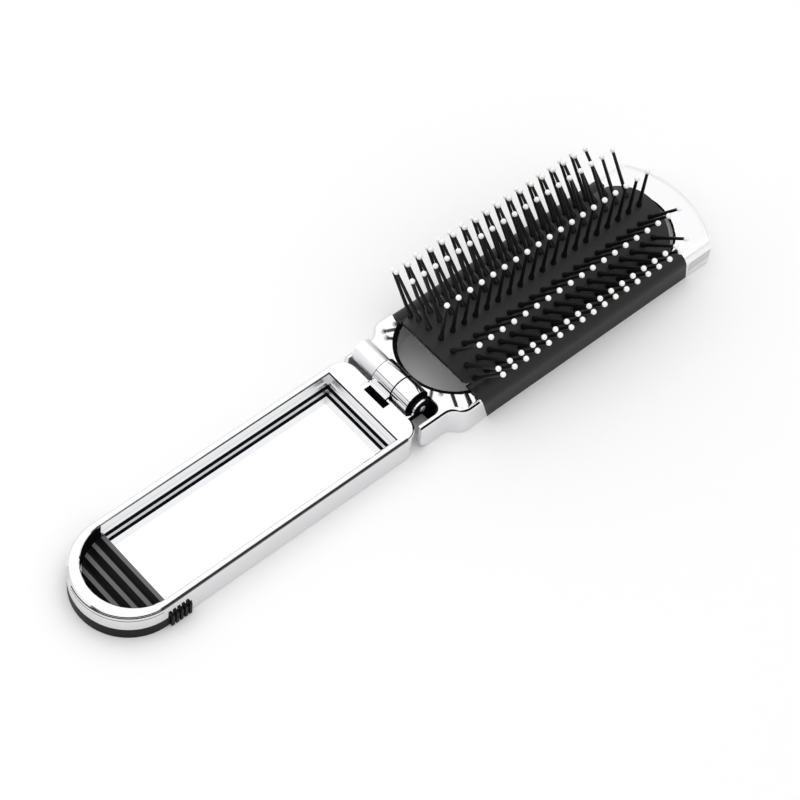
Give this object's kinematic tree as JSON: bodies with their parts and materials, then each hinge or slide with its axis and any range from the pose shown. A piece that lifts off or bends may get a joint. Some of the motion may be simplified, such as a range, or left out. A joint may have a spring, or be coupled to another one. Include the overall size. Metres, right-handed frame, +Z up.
{
  "type": "folding mirror brush",
  "caption": "Folding pocket hairbrush whose mirror handle swings over an arched pad of lean pins with round tips.",
  "frame": {"origin": "centre of the open part's footprint, on the plane of its flat undersides", "axes": "+X from the handle's round end to the brush's tip, +Y to the left seen from the handle, +Z up through the pins"},
  "size_m": [0.2008, 0.042, 0.0303],
  "materials": {
    "chrome_frame": "polished plating",
    "black_rubber": "satin",
    "pin_black": "satin",
    "bead_white": "gloss",
    "steel_pin": "plain",
    "mirror": "silvered",
    "glue": "matte",
    "black_plastic": "satin"
  },
  "bodies": {
    "brush": {"brush_frame": "chrome_frame", "pad_rail_left": "black_rubber", "pad_rail_right": "black_rubber", "pad_membrane": "black_rubber", "hinge_pin": "steel_pin"},
    "mirror_handle": {"handle_frame": "chrome_frame", "mirror_glass": "mirror", "mirror_adhesive": "glue", "grip_insert": "black_plastic"},
    "row_1": {"bristle_row_1": "pin_black", "tip_beads_1": "bead_white"},
    "row_2": {"bristle_row_2": "pin_black", "tip_beads_2": "bead_white"},
    "row_3": {"bristle_row_3": "pin_black", "tip_beads_3": "bead_white"},
    "row_4": {"bristle_row_4": "pin_black", "tip_beads_4": "bead_white"},
    "row_5": {"bristle_row_5": "pin_black", "tip_beads_5": "bead_white"},
    "row_6": {"bristle_row_6": "pin_black", "tip_beads_6": "bead_white"},
    "row_7": {"bristle_row_7": "pin_black", "tip_beads_7": "bead_white"}
  },
  "joints": [
    {"name": "fold", "type": "hinge", "parent": "brush", "child": "mirror_handle", "pos_m": [-0.00235, 0, 0.00945], "axis": [0, 1, 0], "range_deg": [0, 180]},
    {"name": "row_1_sink", "type": "hinge", "parent": "brush", "child": "row_1", "pos_m": [0, 0.02787, 0.00302], "axis": [1, 0, 0], "range_deg": [0, 37.51]},
    {"name": "row_2_sink", "type": "hinge", "parent": "brush", "child": "row_2", "pos_m": [0, 0.0239, 0.00435], "axis": [1, 0, 0], "range_deg": [0, 46.31]},
    {"name": "row_3_sink", "type": "hinge", "parent": "brush", "child": "row_3", "pos_m": [0, 0.02854, 0.006], "axis": [1, 0, 0], "range_deg": [0, 35.11]},
    {"name": "row_4_sink", "type": "slide", "parent": "brush", "child": "row_4", "axis": [0, 0, -1], "range_m": [0, 0.01614], "deforming": ["pad_membrane"]},
    {"name": "row_5_sink", "type": "hinge", "parent": "brush", "child": "row_5", "pos_m": [0, -0.02854, 0.006], "axis": [-1, 0, 0], "range_deg": [0, 35.11]},
    {"name": "row_6_sink", "type": "hinge", "parent": "brush", "child": "row_6", "pos_m": [0, -0.0239, 0.00435], "axis": [-1, 0, 0], "range_deg": [0, 46.31]},
    {"name": "row_7_sink", "type": "hinge", "parent": "brush", "child": "row_7", "pos_m": [0, -0.02787, 0.00302], "axis": [-1, 0, 0], "range_deg": [0, 37.51]}
  ],
  "couplings": [
    {"joint": "row_1_sink", "follows": "fold", "ratio": 0.20833},
    {"joint": "row_2_sink", "follows": "fold", "ratio": 0.25722},
    {"joint": "row_3_sink", "follows": "fold", "ratio": 0.195},
    {"joint": "row_4_sink", "follows": "fold", "m_per_rad": 0.0051343},
    {"joint": "row_5_sink", "follows": "fold", "ratio": 0.195},
    {"joint": "row_6_sink", "follows": "fold", "ratio": 0.25722},
    {"joint": "row_7_sink", "follows": "fold", "ratio": 0.20833}
  ]
}
